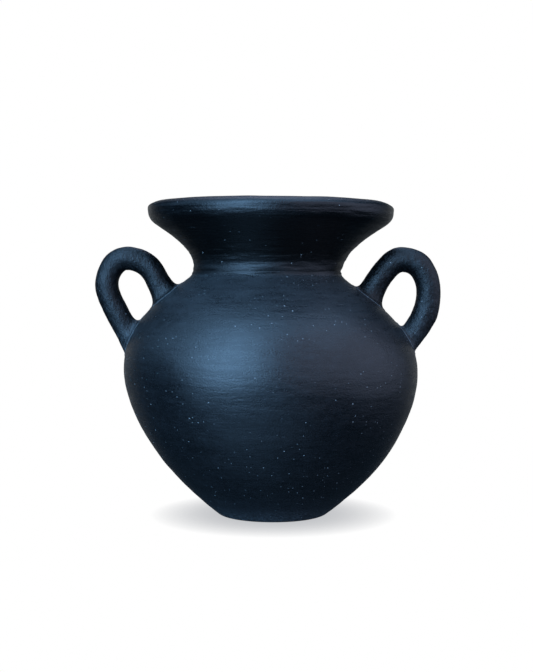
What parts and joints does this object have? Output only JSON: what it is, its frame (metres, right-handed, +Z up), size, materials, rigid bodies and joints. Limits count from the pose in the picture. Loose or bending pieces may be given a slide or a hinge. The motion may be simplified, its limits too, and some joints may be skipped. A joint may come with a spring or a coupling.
{
  "type": "clay pot",
  "caption": "Round-bellied black clay jar with a narrow neck, a flared mouth with a rolled lip, and a small looped ear on each shoulder.",
  "frame": {"origin": "middle of the flat base, where the jar stands", "axes": "+Z up along the jar's axis; +X runs through the two ears, towards the rounder one; +Y is the side away from the viewer who has that ear on their right"},
  "size_m": [0.2196, 0.187, 0.2],
  "materials": {
    "burnished_clay": "burnished, satin",
    "neck_clay": "burnished with tool grooves, satin",
    "ear_clay": "hand-smoothed, matt"
  },
  "bodies": {
    "root": {"base_slab": "burnished_clay", "lower_bowl_coil": "burnished_clay", "middle_bowl_coil": "burnished_clay", "upper_bowl_coil": "burnished_clay", "lower_shoulder_coil": "burnished_clay", "middle_shoulder_coil": "burnished_clay", "upper_shoulder_coil": "burnished_clay", "neck_collar": "neck_clay", "rim_flare": "neck_clay", "lip_roll": "neck_clay", "left_handle": "ear_clay", "left_upper_lute": "ear_clay", "left_lower_lute": "ear_clay", "right_handle": "ear_clay", "right_upper_lute": "ear_clay", "right_lower_lute": "ear_clay"}
  },
  "joints": []
}
